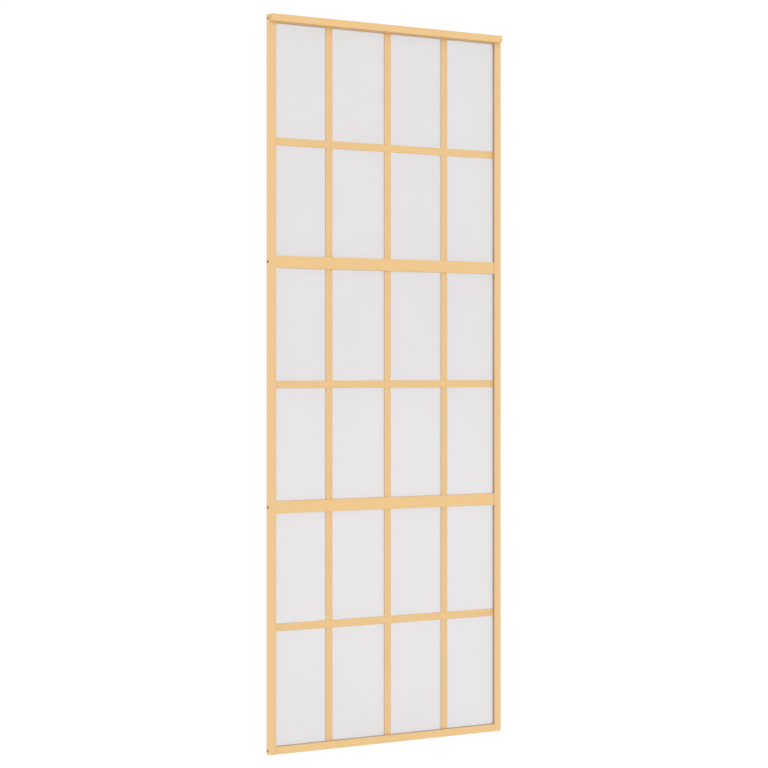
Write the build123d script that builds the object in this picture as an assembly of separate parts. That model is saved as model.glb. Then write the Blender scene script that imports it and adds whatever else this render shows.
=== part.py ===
from build123d import *
import os

# Framed sliding door leaf: slim aluminium frame, three frosted glass panes, flat glazing bars.
# Millimetres. +Z up, +X to the right seen from the front, the front faces -Y.
# Origin: bottom centre of the whole leaf's box. The forward box of the top rail stands out to the
# front only, so the frame's own mid-plane lies behind the origin.

# ------------------------------------------------------------------ driving dimensions
W = 760.0                 # leaf width
H = 2050.0                # leaf height
T = 18.0                  # frame thickness
HOOD_OUT = 14.0           # how far the top rail's forward box stands in front of the stiles
HOOD_H = 20.0             # its height
HOOD_INSET = 3.8          # its ends stop this far inside the leaf's side edges
CAP_T = 2.0               # thickness of its end caps

STILE_W = 22.0            # stile face width
TOP_H = 22.0              # top rail height
BOTTOM_H = 21.0           # bottom rail height
MID_H = 34.0              # mid rail height
MID_Z = (684.5, 1365.5)   # mid rail centres
CROSS_Z = (350.5, 1025.0, 1699.5)   # thin cross bar centres
BAR_X = (-189.0, 0.0, 189.0)        # thin upright bar centres
BAR_W = 21.0              # thin bar width
BAR_T = 3.5               # thin bar thickness
TAPE_T = 0.5              # adhesive strip under each thin bar
TAPE_W = 17.0

WALL = 1.5                # extrusion wall
CHANNEL = 11.5            # depth of the stile's glazing channel
BACK_STEP = 4.0           # the stile's back flange stops this far short of the front one
GLASS_T = 5.0
GLASS_BACK = 10.5         # from the stile's front face back to the glass face
GLASS_COVER = 8.0         # glass held in the stile channel
RAIL_CHANNEL = 6.5        # depth of the top and bottom rails' glazing channel
RAIL_COVER = 5.0          # glass held in the top and bottom rails
MID_SLOT = 9.0            # depth of the mid rails' glazing slots
MID_COVER = 7.5           # glass held in the mid rails
SEAL_T = 0.5              # side wall of the thin seal in a mid rail slot
EDGE_R = 0.8              # outer edge radius of the extrusions

PORT_R = 4.0              # screw port boss in the rails
PORT_BORE_R = 2.4
ACCESS_R = 4.5            # access hole in the stile's outer wall
WEB_HOLE_R = 2.6          # screw hole in the stile's inner web
SCREW_R = 2.35            # frame screw shank
SCREW_HEAD_R = 4.2
SCREW_HEAD_H = 3.0
SCREW_LEN = 32.0

HANGER_X = 280.0          # hanger bolt holes, left and right of the centre
HANGER_R = 4.0            # M8
PLATE_L, PLATE_W, PLATE_T = 76.0, 14.8, 4.0
TOP_WALL = 2.5            # thickness of the top rail's top wall
PLATE_SCREW_DX = 26.0     # plate screws, each side of the bolt hole
PLATE_SCREW_R = 2.0
PLATE_SCREW_HEAD_R = 3.8
PLATE_SCREW_HEAD_H = 1.9

# ------------------------------------------------------------------ derived planes
YF = -(T + HOOD_OUT) / 2 + HOOD_OUT    # stile front face
YB = YF + T                            # stile back face
YM = (YF + YB) / 2                     # frame mid-plane
YH = YF - HOOD_OUT                     # front of the forward box
YI, YJ = YF + WALL, YB - WALL          # inside faces of the channel flanges
XO = W / 2
XI = XO - STILE_W                      # inner edge of the stiles
XW = XI + CHANNEL                      # stile web face, where rail ends stop
XB = XI + BACK_STEP                    # inner edge of the stiles' back flanges
YG0 = YF + GLASS_BACK                  # glass front face
YG1 = YG0 + GLASS_T
YS0, YS1 = YG0 - SEAL_T, YG1 + SEAL_T  # mid rail slot
GX = XI + GLASS_COVER                  # half width of a pane
TZ0 = H - TOP_H                        # underside of the top rail
PORT_TOP_Z = H - TOP_H / 2
PORT_BOT_Z = BOTTOM_H / 2

os.makedirs("parts", exist_ok=True)
parts = {}


def rect(x0, x1, y0, y1):
    return Pos((x0 + x1) / 2, (y0 + y1) / 2) * Rectangle(x1 - x0, y1 - y0)


def disc(x, y, r):
    return Pos(x, y) * Circle(r)


def block(x0, x1, y0, y1, z0, z1):
    return Pos((x0 + x1) / 2, (y0 + y1) / 2, (z0 + z1) / 2) * Box(x1 - x0, y1 - y0, z1 - z0)


def rod_x(x0, x1, y, z, r):
    return Pos((x0 + x1) / 2, y, z) * Rot(0, 90, 0) * Cylinder(r, x1 - x0)


def along_x(section, x0, x1):
    # section drawn with its first axis along +Y and its second along +Z
    return extrude(Plane.YZ.offset(x0) * section, x1 - x0)


def along_z(section, z0, z1):
    return extrude(Plane.XY.offset(z0) * section, z1 - z0)


def soften(section, r, keep=lambda v: True):
    return fillet([v for v in section.vertices() if keep(v)], r)


# ------------------------------------------------------------------ stiles
# One extrusion: an outer chamber that hides the frame screws, and an inner channel for the glass.
# The channel's back flange is the shorter one, so that it doesn't show through the glass.
def stile(side):
    sec = rect(XI, XO, YF, YB) - rect(XI - 1, XB, YJ, YB + 1)
    sec = soften(sec, EDGE_R, lambda v: abs(v.Y - YM) > T / 2 - 0.1)
    sec -= rect(XW + WALL, XO - WALL, YI, YJ)
    sec -= rect(XI - 1, XW, YI, YJ)
    body = along_z(sec, 0, H)
    for z in (PORT_BOT_Z, MID_Z[0], MID_Z[1], PORT_TOP_Z):
        body -= rod_x(XO - WALL - 0.5, XO + 1, YM, z, ACCESS_R)
        body -= rod_x(XW - 0.5, XW + WALL + 0.5, YM, z, WEB_HOLE_R)
    return body if side > 0 else mirror(body, about=Plane.YZ)


parts["left_stile"] = stile(-1)
parts["right_stile"] = stile(1)


# ------------------------------------------------------------------ rails
def coped(section, clip):
    # full section between the stiles, the part of it that fits the channels at both ends, and the
    # back wall that goes on to the shorter back flanges
    tongue = section & clip
    back = section & rect(YJ, YB, -1, H + 1)
    body = along_x(section, -XI, XI) + along_x(tongue, XI, XW) + along_x(tongue, -XW, -XI)
    return body + along_x(back, XI, XB) + along_x(back, -XB, -XI)


# Top rail: chamber above, glazing channel below, forward box in front.
body_sec = rect(YF, YB, TZ0, H)
body_sec = soften(body_sec, EDGE_R, lambda v: v.X > YM)
hood_sec = soften(rect(YH, YF, H - HOOD_H, H), EDGE_R, lambda v: v.X < YF - 1)
cham = rect(YI, YJ, TZ0 + RAIL_CHANNEL + WALL, H - TOP_WALL)
cham -= disc(YM, PORT_TOP_Z, PORT_R)
chan = rect(YI, YJ, TZ0 - 1, TZ0 + RAIL_CHANNEL)
body_sec = body_sec - cham - chan - disc(YM, PORT_TOP_Z, PORT_BORE_R)
hood_sec -= rect(YH + WALL, YF - WALL, H - HOOD_H + WALL, H - WALL)
HX = XO - HOOD_INSET - CAP_T
top = coped(body_sec, rect(YI, YJ, TZ0, H)) + along_x(hood_sec, -HX, HX)
for s in (-1, 1):
    top -= Pos(s * HANGER_X, YM, H) * Cylinder(HANGER_R, 3 * TOP_WALL - 1)
    for d in (-PLATE_SCREW_DX, PLATE_SCREW_DX):
        x = s * HANGER_X + d
        top -= Pos(x, YM, H) * Cylinder(PLATE_SCREW_R, 3 * TOP_WALL - 1)
        top -= Pos(x, YM, H - PLATE_SCREW_HEAD_H / 2) * Cone(PLATE_SCREW_R, PLATE_SCREW_HEAD_R, PLATE_SCREW_HEAD_H)
parts["top_rail"] = top

# Caps that close the forward box's ends: a plate with a plug that fits the box's cavity.
for name, s in (("top_rail_left_cap", -1), ("top_rail_right_cap", 1)):
    plate = along_x(soften(rect(YH, YF, H - HOOD_H, H), EDGE_R, lambda v: v.X < YF - 1), HX, HX + CAP_T)
    plug_sec = rect(YH + WALL + 0.1, YF - WALL - 0.1, H - HOOD_H + WALL + 0.1, H - WALL - 0.1)
    plug_sec -= rect(YH + WALL + 1.4, YF - WALL - 1.4, H - HOOD_H + WALL + 1.4, H - WALL - 1.4)
    cap = plate + along_x(plug_sec, HX - 8, HX)
    parts[name] = cap if s > 0 else mirror(cap, about=Plane.YZ)

# Bottom rail: chamber below, glazing channel above.
sec = soften(rect(YF, YB, 0, BOTTOM_H), EDGE_R)
cham = rect(YI, YJ, WALL, BOTTOM_H - RAIL_CHANNEL - WALL)
cham -= disc(YM, PORT_BOT_Z, PORT_R)
sec = sec - cham - rect(YI, YJ, BOTTOM_H - RAIL_CHANNEL, BOTTOM_H + 1) - disc(YM, PORT_BOT_Z, PORT_BORE_R)
parts["bottom_rail"] = coped(sec, rect(YI, YJ, 0, BOTTOM_H))


# Mid rails: full depth, front face set back by one wall so the ends slide into the channels.
def mid_rail(zc):
    h = MID_H / 2
    s = soften(rect(YI, YB, zc - h, zc + h), 0.6)
    front = rect(YI + WALL, YS0 - WALL, zc - h + WALL, zc + h - WALL)
    core = rect(YS0 - WALL - 0.01, YB - WALL, zc - (h - MID_SLOT - WALL), zc + (h - MID_SLOT - WALL))
    rib = rect(YI, YB, zc - 0.75, zc + 0.75)
    s = s - ((front + core) - disc(YM, zc, PORT_R) - rib)
    s -= rect(YS0, YS1, zc + h - MID_SLOT, zc + h + 1)
    s -= rect(YS0, YS1, zc - h - 1, zc - h + MID_SLOT)
    s -= disc(YM, zc, PORT_BORE_R)
    return coped(s, rect(YI, YJ, zc - h, zc + h))


parts["lower_mid_rail"] = mid_rail(MID_Z[0])
parts["upper_mid_rail"] = mid_rail(MID_Z[1])


# ------------------------------------------------------------------ frame screws
def frame_screw(s, z):
    x0 = XW + WALL
    sc = rod_x(x0 - SCREW_LEN, x0, YM, z, SCREW_R)
    head = rod_x(x0, x0 + SCREW_HEAD_H, YM, z, SCREW_HEAD_R)
    head = fillet(head.edges().filter_by(GeomType.CIRCLE).sort_by(Axis.X)[-1], 1.2)
    drive = block(x0 + 1.2, x0 + SCREW_HEAD_H + 1, YM - 0.6, YM + 0.6, z - 2.4, z + 2.4)
    drive += block(x0 + 1.2, x0 + SCREW_HEAD_H + 1, YM - 2.4, YM + 2.4, z - 0.6, z + 0.6)
    sc = (sc + head) - drive
    return sc if s > 0 else mirror(sc, about=Plane.YZ)


for name, s in (("left_frame_screws", -1), ("right_frame_screws", 1)):
    parts[name] = Compound(children=[frame_screw(s, z) for z in (PORT_BOT_Z, MID_Z[0], MID_Z[1], PORT_TOP_Z)])

# ------------------------------------------------------------------ hanging points
for name, s in (("left_hanger_plate", -1), ("right_hanger_plate", 1)):
    zc = H - TOP_WALL - PLATE_T / 2
    p = Pos(s * HANGER_X, YM, zc) * Box(PLATE_L, PLATE_W, PLATE_T)
    p = chamfer(p.edges().filter_by(Axis.Z), 1.5)
    p -= Pos(s * HANGER_X, YM, zc) * Cylinder(HANGER_R, PLATE_T + 2)
    for d in (-PLATE_SCREW_DX, PLATE_SCREW_DX):
        p -= Pos(s * HANGER_X + d, YM, zc) * Cylinder(PLATE_SCREW_R, PLATE_T + 2)
    parts[name] = p


def plate_screw(x):
    low = H - TOP_WALL - PLATE_T
    sc = Pos(x, YM, (low + H - PLATE_SCREW_HEAD_H) / 2) * Cylinder(PLATE_SCREW_R, H - PLATE_SCREW_HEAD_H - low)
    sc += Pos(x, YM, H - PLATE_SCREW_HEAD_H / 2) * Cone(PLATE_SCREW_R, PLATE_SCREW_HEAD_R, PLATE_SCREW_HEAD_H)
    sc -= block(x - 2.2, x + 2.2, YM - 0.5, YM + 0.5, H - 1.1, H + 1)
    sc -= block(x - 0.5, x + 0.5, YM - 2.2, YM + 2.2, H - 1.1, H + 1)
    return sc


parts["hanger_plate_screws"] = Compound(
    children=[plate_screw(s * HANGER_X + d) for s in (-1, 1) for d in (-PLATE_SCREW_DX, PLATE_SCREW_DX)]
)

# ------------------------------------------------------------------ panes, their seals, and the thin bars
h = MID_H / 2
bays = {
    # name: (glass low, glass high, clear low, clear high, cross bar)
    "lower": (BOTTOM_H - RAIL_COVER, MID_Z[0] - h + MID_COVER, BOTTOM_H, MID_Z[0] - h, CROSS_Z[0]),
    "middle": (MID_Z[0] + h - MID_COVER, MID_Z[1] - h + MID_COVER, MID_Z[0] + h, MID_Z[1] - h, CROSS_Z[1]),
    "upper": (MID_Z[1] + h - MID_COVER, TZ0 + RAIL_COVER, MID_Z[1] + h, TZ0, CROSS_Z[2]),
}


def rail_gasket(z_mouth, up):
    # wrap-round gasket in the top or bottom rail's channel; up: the channel opens upwards
    d = -1 if up else 1
    a, b = sorted((z_mouth, z_mouth + d * RAIL_CHANNEL))
    g0, g1 = sorted((z_mouth - d, z_mouth + d * RAIL_COVER))
    back = rect(YG1, YJ, a, b)
    g = along_x(rect(YI, YJ, a, b) - rect(YG0, YG1, g0, g1), -XI, XI)
    return g + along_x(back, XI, XB) + along_x(back, -XB, -XI)


def mid_seal(z_mouth, up):
    # thin U seal in a mid rail slot
    d = -1 if up else 1
    a, b = sorted((z_mouth, z_mouth + d * MID_SLOT))
    g0, g1 = sorted((z_mouth - d, z_mouth + d * MID_COVER))
    return along_x(rect(YS0, YS1, a, b) - rect(YG0, YG1, g0, g1), -XW, XW)


def side_gasket(s, z0, z1):
    g = rect(XI, XW, YI, YJ) - rect(XI - 1, GX, YG0, YG1) - rect(XI - 1, XB, YG1 - 0.1, YJ + 1)
    g = along_z(g, z0, z1)
    return g if s > 0 else mirror(g, about=Plane.YZ)


def bar_section(c, w):
    # thin bar seen end on: first axis across the bar, second axis front to back
    y0, y1 = YG0 - TAPE_T - BAR_T, YG0 - TAPE_T
    return soften(rect(c - w / 2, c + w / 2, y0, y1), 0.7, lambda v: v.Y < y0 + 0.1)


YB0, YB1 = YG0 - TAPE_T - BAR_T, YG0 - TAPE_T    # thin bar front and back
YBM = (YB0 + YB1) / 2

for bay, (g0, g1, c0, c1, zx) in bays.items():
    parts[f"{bay}_glass_pane"] = chamfer(block(-GX, GX, YG0, YG1, g0, g1).edges(), 0.4)
    parts[f"{bay}_glass_left_gasket"] = side_gasket(-1, c0, c1)
    parts[f"{bay}_glass_right_gasket"] = side_gasket(1, c0, c1)
    if bay == "lower":
        parts["lower_glass_bottom_gasket"] = rail_gasket(BOTTOM_H, True)
    else:
        parts[f"{bay}_glass_bottom_seal"] = mid_seal(c0, True)
    if bay == "upper":
        parts["upper_glass_top_gasket"] = rail_gasket(TZ0, False)
    else:
        parts[f"{bay}_glass_top_seal"] = mid_seal(c1, False)

    # uprights: full height of the bay, halved at the front where the cross bar passes
    for side, x in zip(("left", "centre", "right"), BAR_X):
        up = along_z(bar_section(x, BAR_W), c0, c1)
        up -= block(x - BAR_W, x + BAR_W, YB0 - 1, YBM, zx - BAR_W / 2, zx + BAR_W / 2)
        parts[f"{bay}_{side}_muntin"] = up
    # cross bar: halved at the back over each upright
    sec = soften(rect(YB0, YB1, zx - BAR_W / 2, zx + BAR_W / 2), 0.7, lambda v: v.X < YB0 + 0.1)
    cross = along_x(sec, -XI, XI)
    for x in BAR_X:
        cross -= block(x - BAR_W / 2, x + BAR_W / 2, YBM, YB1 + 1, zx - BAR_W, zx + BAR_W)
    parts[f"{bay}_cross_muntin"] = cross

    # adhesive strips: one under each upright, and the pieces between them under the cross bar
    tw = TAPE_W / 2
    strips = [block(x - tw, x + tw, YG0 - TAPE_T, YG0, c0 + 2, c1 - 2) for x in BAR_X]
    edges = [-XI + 2] + [v for x in BAR_X for v in (x - BAR_W / 2 - 1, x + BAR_W / 2 + 1)] + [XI - 2]
    for a, b in zip(edges[0::2], edges[1::2]):
        strips.append(block(a, b, YG0 - TAPE_T, YG0, zx - tw, zx + tw))
    parts[f"{bay}_muntin_tape"] = Compound(children=strips)

for name, shape in parts.items():
    shape.label = name
    export_step(shape, f"parts/{name}.step")
print(len(parts), "nodes")
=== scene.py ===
import bpy
import bmesh
import math
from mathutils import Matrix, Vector


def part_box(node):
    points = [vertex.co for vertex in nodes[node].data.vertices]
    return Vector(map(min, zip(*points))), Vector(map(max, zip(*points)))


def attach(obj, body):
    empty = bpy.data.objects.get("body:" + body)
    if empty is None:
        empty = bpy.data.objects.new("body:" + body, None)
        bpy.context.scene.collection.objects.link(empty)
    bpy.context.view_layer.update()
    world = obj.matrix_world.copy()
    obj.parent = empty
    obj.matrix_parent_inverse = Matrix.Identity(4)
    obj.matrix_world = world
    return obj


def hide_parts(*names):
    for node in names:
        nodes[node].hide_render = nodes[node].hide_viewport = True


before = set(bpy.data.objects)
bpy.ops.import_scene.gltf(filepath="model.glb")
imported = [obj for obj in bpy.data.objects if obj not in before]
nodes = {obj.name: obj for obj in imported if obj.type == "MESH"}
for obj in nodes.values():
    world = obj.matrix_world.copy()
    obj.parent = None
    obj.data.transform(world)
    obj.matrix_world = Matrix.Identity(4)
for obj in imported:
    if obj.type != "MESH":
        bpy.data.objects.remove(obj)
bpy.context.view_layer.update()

scene = bpy.context.scene
scene.view_settings.view_transform = "Standard"
scene.view_settings.look = "None"
scene.view_settings.exposure = 0.0
scene.view_settings.gamma = 1.0

# ------------------------------------------------------------------ camera
YAW = math.radians(29.372)          # the door is seen from its left, at mid height, with a level camera
FOCAL_PX = 1954.8                   # focal length in pixels of the 768 x 768 frame
cam_data = bpy.data.cameras.new("camera")
cam_data.sensor_fit = "HORIZONTAL"
cam_data.sensor_width = 36.0
cam_data.lens = FOCAL_PX * 36.0 / 768.0
cam_data.shift_y = -(384.0 - 370.94) / 768.0
cam_data.clip_end = 200.0
cam = bpy.data.objects.new("camera", cam_data)
cam.location = (-2.7534, -4.8657, 1.06257)
cam.rotation_euler = (math.pi / 2, 0.0, -YAW)
scene.collection.objects.link(cam)
scene.camera = cam


# ------------------------------------------------------------------ shader helpers
class Shader:
    """A Principled material whose textures run on the piece's own coordinates, in metres."""

    def __init__(self, name):
        self.mat = bpy.data.materials.new(name)
        self.mat.use_nodes = True
        self.nt = self.mat.node_tree
        self.nt.nodes.clear()
        out = self.nt.nodes.new("ShaderNodeOutputMaterial")
        self.bsdf = self.nt.nodes.new("ShaderNodeBsdfPrincipled")
        self.nt.links.new(self.bsdf.outputs["BSDF"], out.inputs["Surface"])
        self.co = self.nt.nodes.new("ShaderNodeTexCoord").outputs["Object"]

    def node(self, kind, **props):
        n = self.nt.nodes.new(kind)
        for k, v in props.items():
            setattr(n, k, v)
        return n

    def link(self, a, b):
        self.nt.links.new(a, b)

    def put(self, socket, value):
        self.bsdf.inputs[socket].default_value = value

    def scaled(self, scale, offset=(0, 0, 0)):
        m = self.node("ShaderNodeMapping")
        m.inputs["Scale"].default_value = scale
        m.inputs["Location"].default_value = offset
        self.link(self.co, m.inputs["Vector"])
        return m.outputs["Vector"]

    def noise(self, vector, scale, detail=2.0, rough=0.5):
        n = self.node("ShaderNodeTexNoise")
        n.inputs["Scale"].default_value = scale
        n.inputs["Detail"].default_value = detail
        n.inputs["Roughness"].default_value = rough
        self.link(vector, n.inputs["Vector"])
        return n.outputs["Fac"]

    def span(self, fac, low, high, a=0.3, b=0.7):
        """fac from a..b to low..high"""
        m = self.node("ShaderNodeMapRange")
        m.inputs["From Min"].default_value = a
        m.inputs["From Max"].default_value = b
        m.inputs["To Min"].default_value = low
        m.inputs["To Max"].default_value = high
        self.link(fac, m.inputs["Value"])
        return m.outputs["Result"]

    def math(self, op, a, b):
        m = self.node("ShaderNodeMath", operation=op)
        for s, v in zip(m.inputs, (a, b)):
            if isinstance(v, (int, float)):
                s.default_value = v
            else:
                self.link(v, s)
        return m.outputs["Value"]

    def mix(self, fac, a, b):
        m = self.node("ShaderNodeMix", data_type="RGBA")
        self.link(fac, m.inputs["Factor"])
        for s, v in (("A", a), ("B", b)):
            sock = [i for i in m.inputs if i.name == s and i.type == "RGBA"][0]
            if isinstance(v, tuple):
                sock.default_value = (*v, 1.0)
            else:
                self.link(v, sock)
        return [o for o in m.outputs if o.type == "RGBA"][0]

    def bump(self, height, strength, distance, under=None):
        b = self.node("ShaderNodeBump")
        b.inputs["Strength"].default_value = strength
        b.inputs["Distance"].default_value = distance
        self.link(height, b.inputs["Height"])
        if under is not None:
            self.link(under, b.inputs["Normal"])
        return b.outputs["Normal"]


def tone(c, k):
    return tuple(min(1.0, x * k) for x in c)


UPRIGHT = (0.850, 0.583, 0.298)      # the level gold is a brighter copy of the upright gold: painted light that lifts the rails and cross bars above the uprights; the bars take their gold 2.5% darker
LEVEL_PAINTED_BRIGHTER = (0.854, 0.589, 0.285)
BARS = 0.975


def gold_aluminium(name, along, gold):
    """Satin gold anodised extrusion: fine die lines run along the length, over a fine etched matt."""
    s = Shader(name)
    stretch = {"X": (0.006, 1.0, 1.0), "Z": (1.0, 1.0, 0.006)}[along]
    lines = s.noise(s.scaled(stretch), 1900.0, 3.0, 0.62)
    wide = s.noise(s.scaled(tuple(v * (0.3 if v < 1 else 1.0) for v in stretch), (3.1, 1.7, 0.4)), 240.0, 2.0, 0.5)
    etch = s.noise(s.co, 6500.0, 1.0, 0.5)
    cloud = s.noise(s.co, 5.0, 2.0, 0.5)
    colour = s.mix(s.span(cloud, 0.0, 1.0), tone(gold, 0.985), tone(gold, 1.012))
    colour = s.mix(s.span(lines, 0.0, 0.16), colour, tone(gold, 0.93))
    s.link(colour, s.bsdf.inputs["Base Color"])
    rough = s.math("ADD", s.span(lines, -0.045, 0.045), s.span(wide, 0.51, 0.57))
    s.link(rough, s.bsdf.inputs["Roughness"])
    n = s.bump(etch, 0.30, 0.000012)
    n = s.bump(wide, 0.25, 0.00004, n)
    n = s.bump(lines, 0.35, 0.000018, n)
    s.link(n, s.bsdf.inputs["Normal"])
    s.put("Metallic", 0.75)
    return s.mat


def cap_plastic():
    s = Shader("cap_plastic")
    grain = s.noise(s.co, 3200.0, 2.0, 0.6)
    cloud = s.noise(s.co, 60.0, 2.0, 0.5)
    s.link(s.mix(s.span(cloud, 0.0, 1.0), (0.800, 0.520, 0.245), (0.830, 0.545, 0.262)), s.bsdf.inputs["Base Color"])
    s.link(s.span(grain, 0.42, 0.56), s.bsdf.inputs["Roughness"])
    s.link(s.bump(grain, 0.35, 0.00003), s.bsdf.inputs["Normal"])
    s.put("Metallic", 0.0)
    s.put("IOR", 1.49)
    return s.mat


def frosted_glass():
    s = Shader("frosted_glass")
    cloud = s.noise(s.co, 3.5, 3.0, 0.5)
    frost = s.noise(s.co, 2600.0, 3.0, 0.65)
    fine = s.noise(s.co, 420.0, 2.0, 0.5)
    colour = s.mix(s.span(cloud, 0.0, 1.0), (0.8015, 0.783, 0.787), (0.8155, 0.797, 0.801))
    colour = s.mix(s.span(frost, 0.0, 0.22), colour, (0.830, 0.825, 0.831))
    s.link(colour, s.bsdf.inputs["Base Color"])
    s.link(s.math("ADD", s.span(frost, -0.035, 0.035), s.span(fine, 0.17, 0.21)), s.bsdf.inputs["Roughness"])
    n = s.bump(fine, 0.10, 0.00004)
    n = s.bump(frost, 0.22, 0.000012, n)
    s.link(n, s.bsdf.inputs["Normal"])
    s.put("Transmission Weight", 0.87)
    s.put("IOR", 1.5)
    return s.mat


def rubber():
    """Brown extruded gasket. Its faces from just in front of the glass face back into the pocket are painted pale:
    painted light that lifts the shade in the pocket seen through the glass; in the rails the pale paint reaches 2.3
    mm further forward, painted light on the dark line along the top and bottom of the glass.
    """
    s = Shader("gasket_rubber")
    grain = s.noise(s.co, 1800.0, 3.0, 0.6)
    bloom = s.noise(s.co, 40.0, 2.0, 0.5)
    skin = s.mix(s.span(bloom, 0.0, 1.0), (0.464, 0.340, 0.238), (0.498, 0.368, 0.258))
    # pale colour painted on the gasket where it meets the glass and inside the pocket: painted light over the
    # pocket's shade
    pale_painted_light = s.mix(s.span(bloom, 0.0, 1.0), (0.790, 0.735, 0.665), (0.820, 0.768, 0.700))
    xyz = s.node("ShaderNodeSeparateXYZ")
    s.link(s.co, xyz.inputs["Vector"])
    # in the top and bottom rails the pale painted light starts 2.3 mm further forward, over the dark line along the
    # glass edge
    rail = s.math("GREATER_THAN", s.math("ABSOLUTE", s.math("SUBTRACT", xyz.outputs["Z"], 1.0245), 0.0), 1.0033)
    start = s.math("SUBTRACT", 0.0083, s.math("MULTIPLY", rail, 0.0023))
    deep = s.math("GREATER_THAN", xyz.outputs["Y"], start)
    painted_light_zone = s.math("MULTIPLY", deep, s.math("LESS_THAN", xyz.outputs["Y"], 0.0141))
    s.link(s.mix(painted_light_zone, skin, pale_painted_light), s.bsdf.inputs["Base Color"])
    s.link(s.span(grain, 0.62, 0.78), s.bsdf.inputs["Roughness"])
    s.link(s.bump(grain, 0.4, 0.00004), s.bsdf.inputs["Normal"])
    s.put("IOR", 1.5)
    return s.mat


def foam():
    s = Shader("adhesive_foam")
    cells = s.node("ShaderNodeTexVoronoi", feature="F1")
    cells.inputs["Scale"].default_value = 3800.0
    s.link(s.co, cells.inputs["Vector"])
    d = cells.outputs["Distance"]
    s.link(s.mix(s.span(d, 0.0, 1.0, 0.1, 0.8), (0.85, 0.61, 0.33), (0.91, 0.67, 0.38)), s.bsdf.inputs["Base Color"])
    s.link(s.span(d, 0.80, 0.92, 0.1, 0.8), s.bsdf.inputs["Roughness"])
    s.link(s.bump(d, 0.5, 0.00008), s.bsdf.inputs["Normal"])
    return s.mat


def steel(name, low, high, rough):
    s = Shader(name)
    mottle = s.noise(s.co, 900.0, 4.0, 0.6)
    fine = s.noise(s.co, 5200.0, 2.0, 0.5)
    s.link(s.mix(s.span(mottle, 0.0, 1.0), low, high), s.bsdf.inputs["Base Color"])
    s.link(s.math("ADD", s.span(fine, -0.05, 0.05), s.span(mottle, rough - 0.06, rough + 0.06)), s.bsdf.inputs["Roughness"])
    s.link(s.bump(fine, 0.3, 0.00002), s.bsdf.inputs["Normal"])
    s.put("Metallic", 1.0)
    return s.mat


M_Z = gold_aluminium("frame_aluminium_upright", "Z", UPRIGHT)
# the level members take the brighter copy of the gold: painted light
M_X = gold_aluminium("frame_aluminium_level", "X", LEVEL_PAINTED_BRIGHTER)
M_BAR_Z = gold_aluminium("bar_aluminium_upright", "Z", tone(UPRIGHT, BARS))
M_BAR_X = gold_aluminium("bar_aluminium_level", "X", tone(LEVEL_PAINTED_BRIGHTER, BARS))
M_CAP = cap_plastic()
M_GLASS = frosted_glass()
M_RUBBER = rubber()
M_FOAM = foam()
M_SCREW = steel("screw_steel", (0.115, 0.095, 0.075), (0.17, 0.145, 0.12), 0.40)
M_PLATE = steel("hanger_steel", (0.50, 0.49, 0.47), (0.60, 0.59, 0.565), 0.34)


def material_of(name):
    if name.endswith("_tape"):
        return M_FOAM
    if name.endswith(("_gasket", "_seal")):
        return M_RUBBER
    if name.endswith("_pane"):
        return M_GLASS
    if name.endswith("_cap"):
        return M_CAP
    if name.endswith("_frame_screws"):
        return M_SCREW
    if "hanger_plate" in name:
        return M_PLATE
    if name.endswith("_muntin"):
        return M_BAR_X if name.endswith("_cross_muntin") else M_BAR_Z
    if name.endswith("_rail"):
        return M_X
    return M_Z


for name, o in nodes.items():
    m = material_of(name)
    if not o.data.materials:
        o.data.materials.append(m)
    for i in range(len(o.data.materials)):
        o.data.materials[i] = m


# ------------------------------------------------------------------ glass
def pane(node):
    """The cut and ground sheet: 0.1 mm of play in its seals, edges arrised all round."""
    lo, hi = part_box(node)
    play = 0.0001
    lo = [lo[0] + play, lo[1] + 0.5 * play, lo[2] + play]
    hi = [hi[0] - play, hi[1] - play, hi[2] - play]
    bm = bmesh.new()
    bmesh.ops.create_cube(bm, size=1.0)
    for v in bm.verts:
        for i in range(3):
            v.co[i] = hi[i] if v.co[i] > 0 else lo[i]
    bmesh.ops.bevel(
        bm, geom=bm.edges[:] + bm.verts[:], offset=0.0007, offset_type="OFFSET",
        segments=3, profile=0.5, affect="EDGES", clamp_overlap=True,
    )
    bmesh.ops.recalc_face_normals(bm, faces=bm.faces[:])
    me = bpy.data.meshes.new(node.replace("_glass_pane", "_frosted_sheet"))
    bm.to_mesh(me)
    bm.free()
    o = bpy.data.objects.new(me.name, me)
    scene.collection.objects.link(o)
    me.materials.append(M_GLASS)
    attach(o, "root")
    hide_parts(node)
    return o


for bay in ("lower", "middle", "upper"):
    pane(bay + "_glass_pane")


# ------------------------------------------------------------------ screws
def helix(bm, foot, way, up, length, root, crest, pitch, point):
    """A threaded shank from foot along way; its last stretch, point long, runs to a tip."""
    steps, around = 8, 24
    rows = math.ceil(length / pitch) * steps + steps
    across = way.cross(up)
    grid = []
    for i in range(-steps, rows + 1):
        ridge = max(0.0, 1.0 - abs((i / steps) % 1.0 - 0.5) / 0.3)
        line = []
        for j in range(around):
            u = min(max(pitch * (i / steps + j / around), 0.0), length)
            fade = max(0.0, min(1.0, u / pitch, (length - u) / pitch))
            r = root + (crest - root) * ridge * fade
            if point:
                r *= min(1.0, 0.2 + 0.8 * (length - u) / point)
            a = math.tau * j / around
            v = bm.verts.new(foot + way * u + (up * math.cos(a) + across * math.sin(a)) * r)
            line.append((v, u))
        grid.append(line)
    made = []
    for i in range(len(grid) - 1):
        for j in range(around):
            if j + 1 < around:
                far = (grid[i + 1][j + 1], grid[i][j + 1])
            else:
                far = (grid[min(i + 1 + steps, len(grid) - 1)][0], grid[min(i + steps, len(grid) - 1)][0])
            four = [grid[i][j], grid[i + 1][j], *far]
            us = [u for _, u in four]
            if max(us) < 1e-9 or min(us) > length - 1e-9 or len({v for v, _ in four}) < 4:
                continue
            made.append(bm.faces.new([v for v, _ in four]))
    return made


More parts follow.
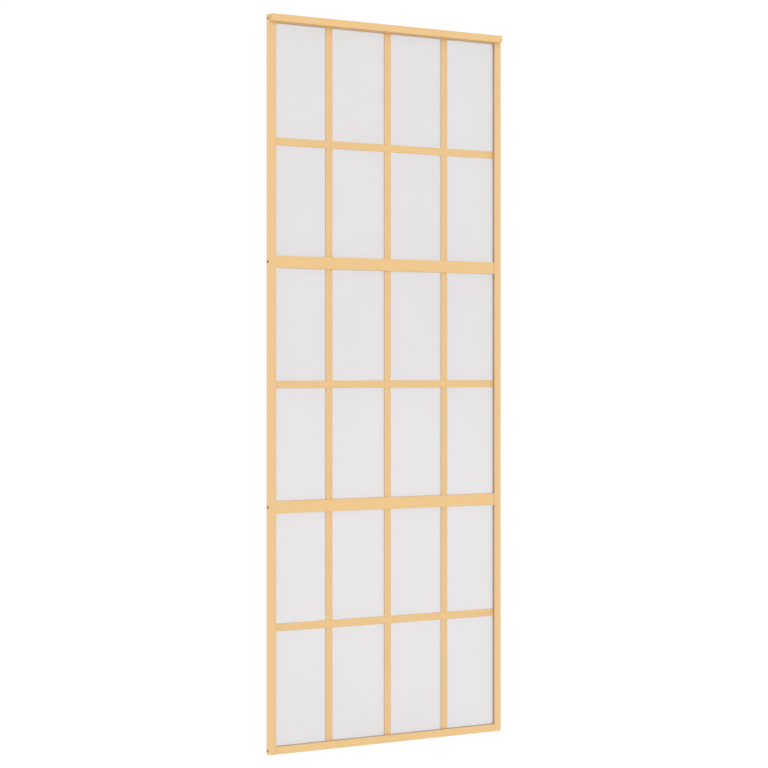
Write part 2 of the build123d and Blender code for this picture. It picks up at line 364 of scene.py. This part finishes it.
def threaded(node, new_name, mat, under_head, feet, way, up, length, root, crest, pitch, point):
    """The same screws with a cut thread in place of the plain shank; the heads stay as they are."""
    bm = bmesh.new()
    bm.from_mesh(nodes[node].data)
    bmesh.ops.remove_doubles(bm, verts=bm.verts[:], dist=1e-6)
    shank = [f for f in bm.faces if under_head(f.calc_center_median())]
    bmesh.ops.delete(bm, geom=shank, context="FACES")
    for foot in feet:
        helix(bm, Vector(foot), Vector(way), Vector(up), length, root, crest, pitch, point)
    bmesh.ops.remove_doubles(bm, verts=bm.verts[:], dist=1e-7)
    bmesh.ops.dissolve_degenerate(bm, edges=bm.edges[:], dist=1e-8)
    bmesh.ops.holes_fill(bm, edges=[e for e in bm.edges if e.is_boundary], sides=0)
    bmesh.ops.triangulate(bm, faces=[f for f in bm.faces if len(f.verts) > 4])
    bmesh.ops.recalc_face_normals(bm, faces=bm.faces[:])
    for f in bm.faces:
        f.smooth = True
        f.material_index = 0
    for e in bm.edges:
        e.smooth = len(e.link_faces) == 2 and e.calc_face_angle(0.0) < math.radians(35)
    me = bpy.data.meshes.new(new_name)
    bm.to_mesh(me)
    bm.free()
    me.materials.clear()
    me.materials.append(mat)
    o = bpy.data.objects.new(new_name, me)
    scene.collection.objects.link(o)
    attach(o, "root")
    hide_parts(node)
    return o


SCREW_ROWS = (0.0105, 0.6845, 1.3655, 2.0390)      # one frame screw for each rail end
for side, s in (("left", -1), ("right", 1)):
    threaded(
        side + "_frame_screws", side + "_frame_threaded_screws", M_SCREW,
        lambda c: abs(c.x) < 0.37099,
        [(s * 0.3712, 0.007, z) for z in SCREW_ROWS], (-s, 0, 0), (0, 0, 1),
        0.0322, 0.00176, 0.00235, 0.0016, 0.0045,
    )
threaded(
    "hanger_plate_screws", "hanger_plate_threaded_screws", M_PLATE,
    lambda c: c.z < 2.04809,
    [(s * 0.280 + d, 0.007, 2.0483) for s in (-1, 1) for d in (-0.026, 0.026)], (0, 0, -1), (1, 0, 0),
    0.0048, 0.00162, 0.00200, 0.0007, 0.0,
)


# ------------------------------------------------------------------ floor and light
def floor():
    me = bpy.data.meshes.new("floor")
    r = 30.0
    me.from_pydata([(-r, -r, 0), (r, -r, 0), (r, r, 0), (-r, r, 0)], [], [(0, 1, 2, 3)])
    o = bpy.data.objects.new("floor", me)
    scene.collection.objects.link(o)
    s = Shader("floor")
    soft = s.noise(s.co, 1.3, 2.0, 0.5)
    s.link(s.mix(s.span(soft, 0.0, 1.0), (0.098, 0.098, 0.098), (0.102, 0.102, 0.102)), s.bsdf.inputs["Base Color"])
    s.put("Emission Color", (1.0, 1.0, 1.0, 1.0))
    s.put("Emission Strength", 0.90)
    s.put("Roughness", 0.8)
    s.put("Specular IOR Level", 0.2)
    me.materials.append(s.mat)
    o.location.z = -0.0002
    return o


floor()

world = bpy.data.worlds.new("studio")
scene.world = world
world.use_nodes = True
wt = world.node_tree
bg = wt.nodes["Background"]
bg.inputs["Color"].default_value = (1.0, 1.0, 1.0, 1.0)
where = wt.nodes.new("ShaderNodeTexCoord")
xyz = wt.nodes.new("ShaderNodeSeparateXYZ")
wt.links.new(where.outputs["Generated"], xyz.inputs["Vector"])
rise = wt.nodes.new("ShaderNodeMapRange")       # even from the horizon up to 30 degrees, brighter overhead
rise.interpolation_type = "SMOOTHSTEP"
for k, v in (("From Min", 0.35), ("From Max", 1.0), ("To Min", 1.02), ("To Max", 1.22)):
    rise.inputs[k].default_value = v
wt.links.new(xyz.outputs["Z"], rise.inputs["Value"])
wt.links.new(rise.outputs["Result"], bg.inputs["Strength"])
